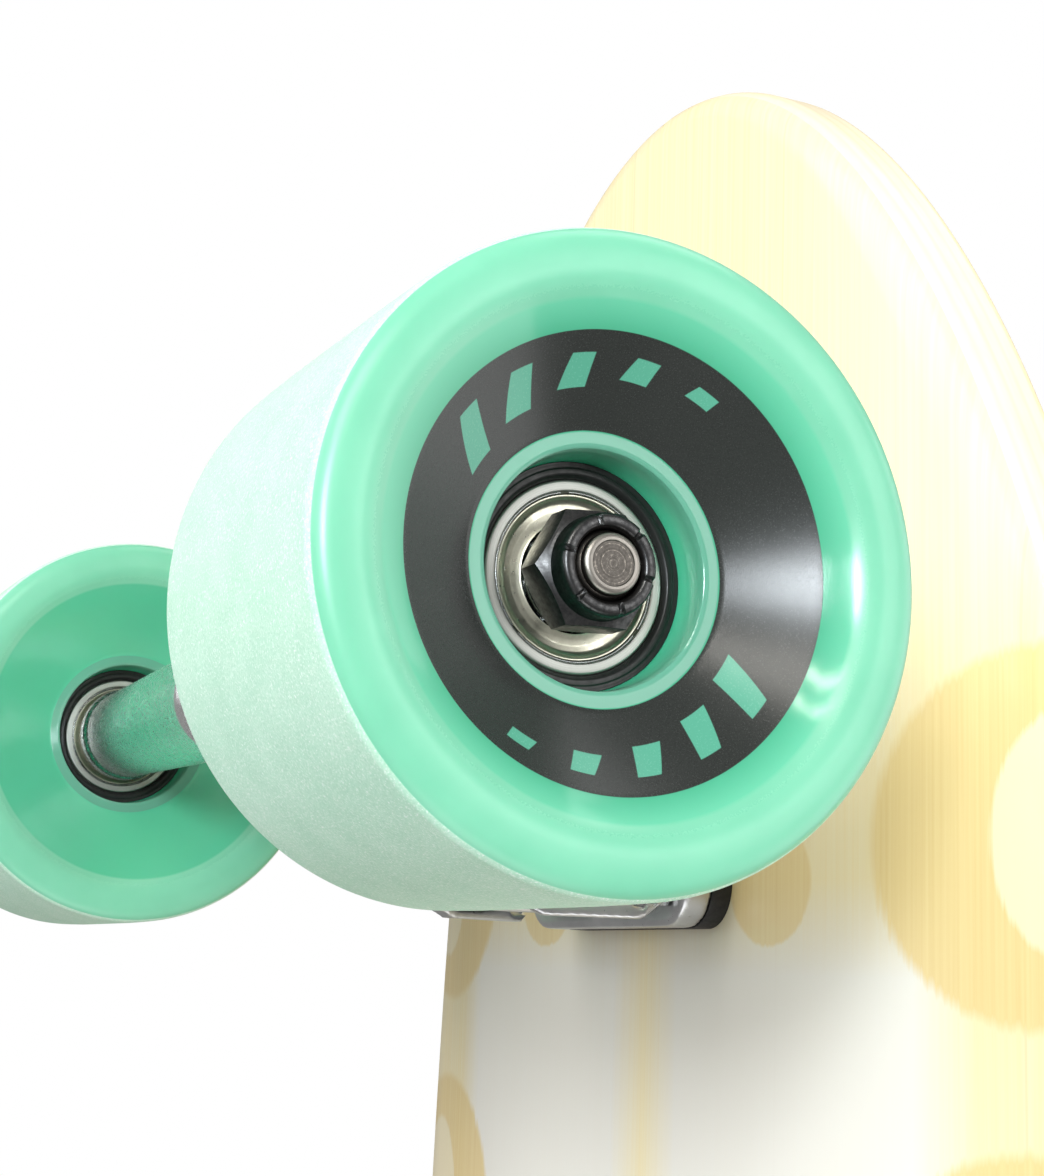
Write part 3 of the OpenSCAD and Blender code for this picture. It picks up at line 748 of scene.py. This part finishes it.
def deck_hardware(end):
    """Countersunk bolts with a cross recess, and their lock nuts under the baseplate."""
    bolt_low = span(f"{end}_deck_bolts", HERE)[0]
    nut_high = span(f"{end}_deck_nuts", HERE)[1]
    heads, nuts, places = Pile(), Pile(), [place for at, place in BOLT_PLACES if at == end]
    top = places[0].translation.z
    shank = rounded([(0, bolt_low - top, 0), (2.1, bolt_low - top, 0), (2.4, bolt_low - top + 0.4, 0),
                     (2.4, -2.6, 0.3), (4.55, -0.25, 0.2), (4.3, -0.05, 0.2), (0, -0.05, 0)], 0)
    thread_from, thread_to, pitch = bolt_low - top + 0.6, nut_high - top + 8, 0.8
    turns = int((thread_to - thread_from) / pitch)
    thread = [(2.2 if k % 2 else 2.4, thread_from + pitch * k / 2) for k in range(2 * turns)]
    shank = shank[:3] + thread + shank[3:]
    for place in places:
        heads.add(turned(shank, 40, closed=False), place)
        at = place.translation
        under = Matrix.Translation((at.x, at.y, nut_high)) @ Matrix.Rotation(math.pi, 4, "X")
        nuts.add(hex_nut(flats=9.5, height=3.6, bore=2.4), under)
        nuts.add(turned(rounded([(2.5, 3.5), (4.2, 3.5), (4.2, 4.9, 0.5), (2.5, 4.9, 0.2)], 0), 40), under)
        nuts.add(turned(rounded([(2.35, 3.7), (3.3, 3.7), (3.3, 4.95), (2.35, 4.95)], 0.1), 32), under, 1)
    bolts = heads.piece(f"{end}_deck_bolts_steel", "root", [BLACK], "black_steel", [f"{end}_deck_bolts"])
    for quarter in (0, math.pi / 2):
        rolls = [Matrix.Rotation(0.5 + i + quarter, 4, "Z") for i in range(len(places))]
        cut(bolts, slot_cutter(), [place @ roll for place, roll in zip(places, rolls)])
    nuts.piece(f"{end}_deck_nuts_steel", "root", [STEEL, NYLON], "steel", [f"{end}_deck_nuts"])


def kingpin_parts(end):
    """Kingpin, its lock nut, the two bushings and the cup washers outside them."""
    place = kingpin_place(end)
    low, high, _ = span(f"{end}_kingpin", place)
    nut_low, nut_high, _ = span(f"{end}_kingpin_nut", place)
    pin_r, head_h = 4.76, 6.0
    half_pitch, thread_depth = 0.6, 0.35
    crests = int((high - nut_low + 1) / half_pitch)
    thread = [(pin_r - (thread_depth if k % 2 else 0), nut_low - 2 + half_pitch * k) for k in range(crests)]
    outline = [(0, low), (pin_r, low)] + thread + [(pin_r - 0.4, high - 0.4), (pin_r - 1, high), (0, high)]
    pin = Pile().add(turned(outline, 64, closed=False), place)
    pin.add(hex_nut(KINGPIN_FLATS, head_h, 0), place @ Matrix.Translation((0, 0, low)))
    pin.piece(f"{end}_kingpin_steel", "root", [STEEL], "steel", [f"{end}_kingpin"])
    tall = nut_high - nut_low
    nut_place = place @ Matrix.Translation((0, 0, nut_low))
    nut = Pile().add(hex_nut(KINGPIN_FLATS, tall - 2.2, pin_r), nut_place)
    crown = [(5, tall - 2.3), (6.7, tall - 2.3), (6.7, tall, 0.8), (5, tall, 0.3)]
    nut.add(turned(rounded(crown, 0), 64), nut_place)
    insert_r, insert_low, insert_high = pin_r - 0.05, tall - 1.9, tall + 0.05
    insert = [(insert_r, insert_low), (5.8, insert_low), (5.8, insert_high), (insert_r, insert_high)]
    nut.add(turned(rounded(insert, 0.15), 48), nut_place, 1)
    nut.piece(f"{end}_kingpin_nut_steel", "root", [STEEL, NYLON], "steel", [f"{end}_kingpin_nut"])

    low, high, _ = span(f"{end}_boardside_bushing", place)
    barrel = [(BUSHING_BORE_R, low, 0.3), (12.4, low, 1.2), (13.4, low + 3.5, 1.5),
              (13.4, high - 3.5, 1.5), (12.4, high, 1.2), (BUSHING_BORE_R, high, 0.3)]
    node = f"{end}_boardside_bushing"
    Pile().add(turned(rounded(barrel, 1, 5), 96), place).piece(
        f"{node}_urethane", "root", [BUSHING], "bushing_urethane", [node])
    low, high, _ = span(f"{end}_roadside_bushing", place)
    cone = [(BUSHING_BORE_R, low, 0.3), (13.3, low, 1.0), (13.2, low + 3, 0.8),
            (10.6, high, 1.0), (BUSHING_BORE_R, high, 0.3)]
    node = f"{end}_roadside_bushing"
    Pile().add(turned(rounded(cone, 1, 5), 96), place).piece(
        f"{node}_urethane", "root", [BUSHING], "bushing_urethane", [node])
    bottom, top, _ = span(f"{end}_bushing_washers", place)
    cups = Pile()
    for at, up, wide in ((bottom, 1, 14.0), (top, -1, 12.0)):
        cup = [(4.9, 0), (wide - 1.6, 0), (wide, 1.1), (wide, 2.0),
               (wide - 0.8, 2.0), (wide - 2.2, 1.1), (4.9, 1.1)]
        cups.add(turned(rounded([(r, at + up * h) for r, h in cup], 0.5), 96), place)
    cups.piece(f"{end}_bushing_washers_steel", "root", [STEEL], "steel", [f"{end}_bushing_washers"])


def axle_parts(end):
    """Axle with turned ends, and the crimped lock nuts by each wheel."""
    place, body = axle_place(end), f"{end}_hanger"
    half, axle_r = span(f"{end}_axle", place)[1:]
    nut_top = span(f"{end}_axle_nuts", place)[1]
    thread = [(axle_r - (0.22 if k % 2 else 0), half - 9 + 0.5 * k) for k in range(15)]
    one = thread + [(axle_r - 0.3, half - 1.3), (3.45, half - 1.1), (3.42, half - 0.45), (3.3, half - 0.2),
                    (3.05, half - 0.05), (2.8, half), (2.55, half), (2.45, half - 0.12), (0, half - 0.12)]
    profile = [(r, -h) for r, h in reversed(one)] + one
    Pile().add(turned(profile, 96, closed=False), place).piece(
        f"{end}_axle_rod", body, [AXLE], "axle_steel", [f"{end}_axle"])
    nuts = Pile()
    hex_h, collar_h = 4.9, 2.9
    for flip in (0, math.pi):
        seat = place @ Matrix.Rotation(flip, 4, "X") @ Matrix.Translation((0, 0, nut_top - hex_h - collar_h))
        nut = hex_nut(12.7, hex_h, axle_r, collar_r=5.75, collar_h=collar_h, notches=6, notch_turn=15)
        nuts.add(nut, seat @ Matrix.Rotation(NUT_TURN, 4, "Z"))
    nuts.piece(f"{end}_axle_nuts_black", body, [BLACK], "black_steel", [f"{end}_axle_nuts"])


for end in ENDS:
    deck_hardware(end)
    kingpin_parts(end)
    axle_parts(end)
    softened(f"{end}_baseplate", f"{end}_baseplate_casting", "root", BASE_METAL)
    softened(f"{end}_hanger", f"{end}_hanger_casting", f"{end}_hanger", HANGER_METAL)
    bevelled(f"{end}_riser", f"{end}_riser_pad", "root", RUBBER)
    for part, material in (("pivot_cup", CUP), ("speed_washers", CAD_STEEL),
                           ("bearing_inner_rings", CAD_STEEL), ("bearing_spacers", CAD_STEEL)):
        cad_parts[f"{end}_{part}"].material_slots[0].material = material


# ---------- wheels ----------

PRINT_TOP = 23.3
CONE_STEPS, LIP_IN_STEPS, LIP_OUT_STEPS = 16, 8, 24


def tyre_profile():
    """Half of the tyre's section, from the core out over the face to the middle of the tread."""
    face = [(CORE_R, 0), (CORE_R, CORE_HALF - 0.1), (CORE_R + 0.1, CORE_HALF + 0.3)]
    face += [(13.15, HUB_FACE - 1.4), (13.25, HUB_FACE - 0.5), (13.36, HUB_FACE - 0.2)]
    face += [(13.6, HUB_FACE - 0.04), (14.0, HUB_FACE), (15.0, HUB_FACE), (PRINT_IN, HUB_FACE + 0.02)]
    rise, reach = PRINT_TOP - HUB_FACE, PRINT_OUT - PRINT_IN
    for step in range(1, CONE_STEPS + 1):
        t = step / CONE_STEPS
        face.append((PRINT_IN + reach * t, HUB_FACE + 0.02 + rise * (0.9 * t + 0.1 * t * t)))
    # shoulder, then one even curve over the broad lip and down to the tread
    face += [(26.4, 24.12), (27.3, 24.68), (27.9, 25.05), (SHOULDER_R, 25.25), (28.5, 25.45)]
    for step in range(1, LIP_IN_STEPS + 1):
        t = 1 - step / LIP_IN_STEPS
        face.append((LIP_MID - 2.9 * t, LIP_TOP - 0.9 * t ** 2.1))
    for step in range(1, LIP_OUT_STEPS + 1):
        turn = step / LIP_OUT_STEPS * math.pi / 2
        face.append((LIP_MID + (WHEEL_R - 0.12 - LIP_MID) * math.sin(turn) ** 0.75,
                     LIP_TOP - LIP_DROP * (1 - math.cos(turn)) ** 1.1))
    face += [(WHEEL_R - 0.06, 20), (WHEEL_R, 15), (WHEEL_R, 6)]
    return face


def wheel_parts(end, side):
    """Tyre, core, and the rings, shields and snap rings of its two bearings."""
    place, body, name = wheel_place(end, side), f"{end}_{side}_wheel", f"{end}_{side}"
    half = tyre_profile()
    section = half + [(r, -h) for r, h in reversed(half) if h > 1e-6]
    Pile().add(turned(section, 288), place).piece(
        f"{name}_tyre_urethane", body, [MINT], "wheel_urethane", [f"{name}_tyre"], sharp=28)
    core = Pile()
    bearing_r, seat, shield_t = 11.0, 5.0, 0.28
    step = [(bearing_r, seat), (bearing_r, CORE_HALF - 0.5, 0.2), (bearing_r + 0.5, CORE_HALF, 0.15),
            (12.1, CORE_HALF, 0.1), (12.2, CORE_HALF - 0.1, 0.1),
            (12.45, CORE_HALF - 0.1, 0.1), (CORE_R, CORE_HALF, 0.2)]
    core_outline = step + [(p[0], -p[1], *p[2:]) for p in reversed(step)] + [(9.6, -seat), (9.6, seat)]
    core.add(turned(rounded(core_outline, 0.1), 144), place)
    core.piece(f"{name}_core_plastic", body, [CORE], "black_plastic", [f"{name}_core"])
    rings, shields, clips = Pile(), Pile(), Pile()
    for flip in (0, math.pi):
        face = place @ Matrix.Rotation(flip, 4, "X") @ Matrix.Translation((0, 0, HALF_SPAN))
        ring = [(9.25, -0.75), (9.62, -0.5), (9.62, -0.12, 0.1), (9.78, 0, 0.08), (10.75, 0, 0.15),
                (bearing_r, -0.25, 0.15), (bearing_r, -6.75, 0.15), (10.75, -7, 0.15), (9.5, -7, 0.1),
                (9.25, -6.6)]
        rings.add(turned(rounded(ring, 0.05), 144), face)
        dish = [(9.3, -0.28), (9.05, -0.3), (8.75, -0.62), (8.3, -0.86), (7.6, -0.92), (6.9, -0.82),
                (6.45, -0.7), (6.3, -0.62)]
        plate = dish + [(r, h - shield_t) for r, h in reversed(dish)]
        shields.add(turned(rounded(plate, 0.12), 144), face)
        back = [(9.3, -6.4), (6.3, -6.4), (6.3, -6.75), (9.3, -6.75)]
        shields.add(turned(back, 96), face)
        wire = arc(9.5, -0.28, 0.11, 0, 330, 11)
        for start, sweep in ((12, 118), (136, 96), (238, 128)):
            clips.add(turned(wire, 60, True, start, sweep), face)
    node = f"{name}_bearing_outer_rings"
    rings.piece(f"{node}_ground", body, [GROUND], "bearing_steel", [node])
    shields.piece(f"{name}_bearing_shields_zinc", body, [SHIELD], "zinc_steel", [f"{name}_bearing_shields"])
    clips.piece(f"{name}_bearing_snap_rings", body, [STEEL], "steel")
    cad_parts[f"{name}_ball_cages"].material_slots[0].material = CAD_STEEL


for end, side in CORNERS:
    wheel_parts(end, side)


# ---------- stage ----------


WORLD_LEVEL = 0.31


def world_light():
    """Even white light, and a white background."""
    world = bpy.data.worlds.new("studio")
    bpy.context.scene.world = world
    world.use_nodes = True
    tree = world.node_tree
    tree.nodes.clear()
    seen, light = tree.nodes.new("ShaderNodeBackground"), tree.nodes.new("ShaderNodeBackground")
    seen.inputs["Color"].default_value, seen.inputs["Strength"].default_value = (1, 1, 1, 1), 1.0
    light.inputs["Color"].default_value = (1, 0.985, 0.96, 1)
    light.inputs["Strength"].default_value = WORLD_LEVEL
    path, mix = tree.nodes.new("ShaderNodeLightPath"), tree.nodes.new("ShaderNodeMixShader")
    out = tree.nodes.new("ShaderNodeOutputWorld")
    tree.links.new(path.outputs["Is Camera Ray"], mix.inputs[0])
    tree.links.new(light.outputs[0], mix.inputs[1])
    tree.links.new(seen.outputs[0], mix.inputs[2])
    tree.links.new(mix.outputs[0], out.inputs[0])


def soft_box(name, centre, offset, size, power, colour=(1, 1, 1)):
    """A rectangular lamp at an offset from a place, facing it."""
    lamp = bpy.data.lights.new(name, "AREA")
    lamp.shape, lamp.size, lamp.size_y = "RECTANGLE", size[0] * MM, size[1] * MM
    lamp.energy, lamp.color = power, colour
    box = bpy.data.objects.new(name, lamp)
    box.location = (centre + Vector(offset)) * MM
    box.rotation_mode = "QUATERNION"
    box.rotation_quaternion = (-Vector(offset)).to_track_quat("-Z", "Y")
    bpy.context.scene.collection.objects.link(box)


def pale_floor():
    """A floor seen only from above, so that the view from below looks through it."""
    mesh = bpy.data.meshes.new("floor")
    reach = 4.0
    corners = [(-reach, -reach, 0), (reach, -reach, 0), (reach, reach, 0), (-reach, reach, 0)]
    mesh.from_pydata(corners, [], [(0, 1, 2, 3)])
    floor = bpy.data.objects.new("floor", mesh)
    bpy.context.scene.collection.objects.link(floor)
    material = bpy.data.materials.new("pale_floor")
    material.use_nodes = True
    tree = material.node_tree
    tree.nodes["Principled BSDF"].inputs["Base Color"].default_value = (0.82, 0.82, 0.81, 1)
    tree.nodes["Principled BSDF"].inputs["Roughness"].default_value = 0.8
    geometry, clear = tree.nodes.new("ShaderNodeNewGeometry"), tree.nodes.new("ShaderNodeBsdfTransparent")
    mix = tree.nodes.new("ShaderNodeMixShader")
    tree.links.new(geometry.outputs["Backfacing"], mix.inputs[0])
    tree.links.new(tree.nodes["Principled BSDF"].outputs[0], mix.inputs[1])
    tree.links.new(clear.outputs[0], mix.inputs[2])
    tree.links.new(mix.outputs[0], tree.nodes["Material Output"].inputs["Surface"])
    mesh.materials.append(material)
    floor.visible_diffuse = floor.visible_glossy = floor.visible_transmission = floor.visible_shadow = False


world_light()
pale_floor()
FRONT_AXLE = centre_mm("front_axle")
BLIND_PITCH = 110
# A small bright lamp close to the eye, a wide one below the board, one behind, one above the eye for the
# bare metals, three narrow ones side by side whose reflections streak the dish, weak ones ahead and low,
# and one overhead
soft_box("eye", FRONT_AXLE, (150, 747, -458), (175, 175), 5.4, (0.88, 0.95, 1))
soft_box("below", FRONT_AXLE, (560, -260, -1000), (1000, 1000), 9)
soft_box("behind", FRONT_AXLE, (-1100, 500, -150), (900, 900), 4.8)
soft_box("metals", FRONT_AXLE, (250, 1000, 560), (500, 420), 2.2)
for shift in (-BLIND_PITCH, 0, BLIND_PITCH):
    place = (500 + shift, 690, -392 - shift)
    soft_box(f"blind{shift:+d}", FRONT_AXLE, place, (28, 420), 0.85, (1, 0.97, 0.9))
soft_box("ahead", FRONT_AXLE, (900, 160, 380), (520, 520), 1.8)
soft_box("low", FRONT_AXLE, (170, 700, -760), (400, 400), 0.9)
soft_box("top", Vector((0, 0, 0)), (300, 500, 1600), (1800, 1200), 12)
bpy.context.scene.view_settings.view_transform = "Standard"

# The camera is low, ahead of the front axle's end and under the board, with the nose up in the picture
CAMERA_FROM_AXLE = Vector((-43.6, 309.4, -99.5))
RIGHT, DOWN = Vector((0.0333, 0.4282, 0.9031)), Vector((-0.982, -0.1539, 0.1091))
FOCAL_IN_FRAMES = 1.752
SENSOR = 36.0


def camera():
    lens = bpy.data.cameras.new("camera")
    lens.sensor_width, lens.lens = SENSOR, SENSOR * FOCAL_IN_FRAMES
    lens.clip_start, lens.clip_end = 0.005, 50
    eye = bpy.data.objects.new("camera", lens)
    bpy.context.scene.collection.objects.link(eye)
    right = RIGHT.normalized()
    back = right.cross(-DOWN).normalized()
    up = back.cross(right)
    turn = Matrix((right, up, back)).transposed().to_4x4()
    eye.matrix_world = Matrix.Translation((FRONT_AXLE + CAMERA_FROM_AXLE) * MM) @ turn
    bpy.context.scene.camera = eye


camera()
